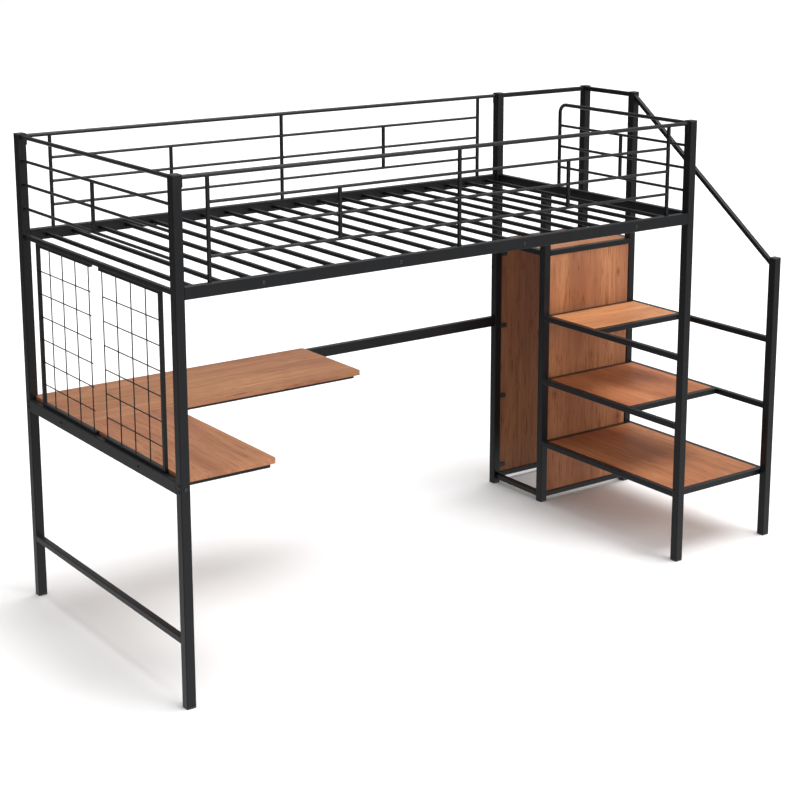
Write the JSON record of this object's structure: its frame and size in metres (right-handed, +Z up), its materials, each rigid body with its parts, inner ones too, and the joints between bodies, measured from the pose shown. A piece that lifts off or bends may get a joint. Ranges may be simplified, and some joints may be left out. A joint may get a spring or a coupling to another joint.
{
  "type": "loft bed with desk",
  "caption": "Metal loft bed with side and end guards, slats, an L-shaped wood desk below, wire grid panels, box steps, landing and open wardrobe.",
  "frame": {"origin": "on the floor, below the centre of the whole bounding box", "axes": "+X along the bed from the desk end to the stair end, +Y from the open front to the back, +Z up"},
  "size_m": [2.3876, 1.047, 1.537],
  "materials": {
    "frame_metal": "satin black powder coat on welded steel tube",
    "wood_board": "warm brown wood-grain laminate on particle board",
    "black_plastic": "moulded black plastic caps, feet and brackets",
    "bolt_metal": "black-coated button-head screws"
  },
  "bodies": {
    "root": {"post_front_left": "frame_metal", "post_back_left": "frame_metal", "post_front_right": "frame_metal", "post_back_right": "frame_metal", "post_wardrobe_left": "frame_metal", "post_wardrobe_front": "frame_metal", "post_wardrobe_back": "frame_metal", "post_stair": "frame_metal", "post_caps": "black_plastic", "foot_pads": "black_plastic", "side_rail_front": "frame_metal", "side_rail_back": "frame_metal", "end_rail_left": "frame_metal", "end_rail_right": "frame_metal", "slats_1": "frame_metal", "slats_2": "frame_metal", "slats_3": "frame_metal", "slats_4": "frame_metal", "guard_front": "frame_metal", "guard_back": "frame_metal", "guard_left_end": "frame_metal", "guard_stair_end": "frame_metal", "landing_guard_back": "frame_metal", "landing_guard_side": "frame_metal", "handrail": "frame_metal", "desk_rail_left": "frame_metal", "desk_rail_back": "frame_metal", "floor_brace": "frame_metal", "desk_frame_back": "frame_metal", "desk_frame_side": "frame_metal", "desk_board_back": "wood_board", "desk_board_side": "wood_board", "grid_panel_front": "frame_metal", "grid_panel_back": "frame_metal", "landing_rail_front": "frame_metal", "landing_rail_back": "frame_metal", "landing_rail_left": "frame_metal", "landing_rail_right": "frame_metal", "base_rail_front": "frame_metal", "base_rail_back": "frame_metal", "base_rail_left": "frame_metal", "base_rail_right": "frame_metal", "landing_straps": "frame_metal", "landing_board": "wood_board", "wardrobe_panel_front": "wood_board", "wardrobe_panel_back": "wood_board", "step_frame_upper": "frame_metal", "step_frame_middle": "frame_metal", "step_frame_lower": "frame_metal", "tread_upper": "wood_board", "tread_middle": "wood_board", "tread_lower": "wood_board", "panel_brackets": "black_plastic", "rail_bolts": "bolt_metal"}
  },
  "joints": []
}
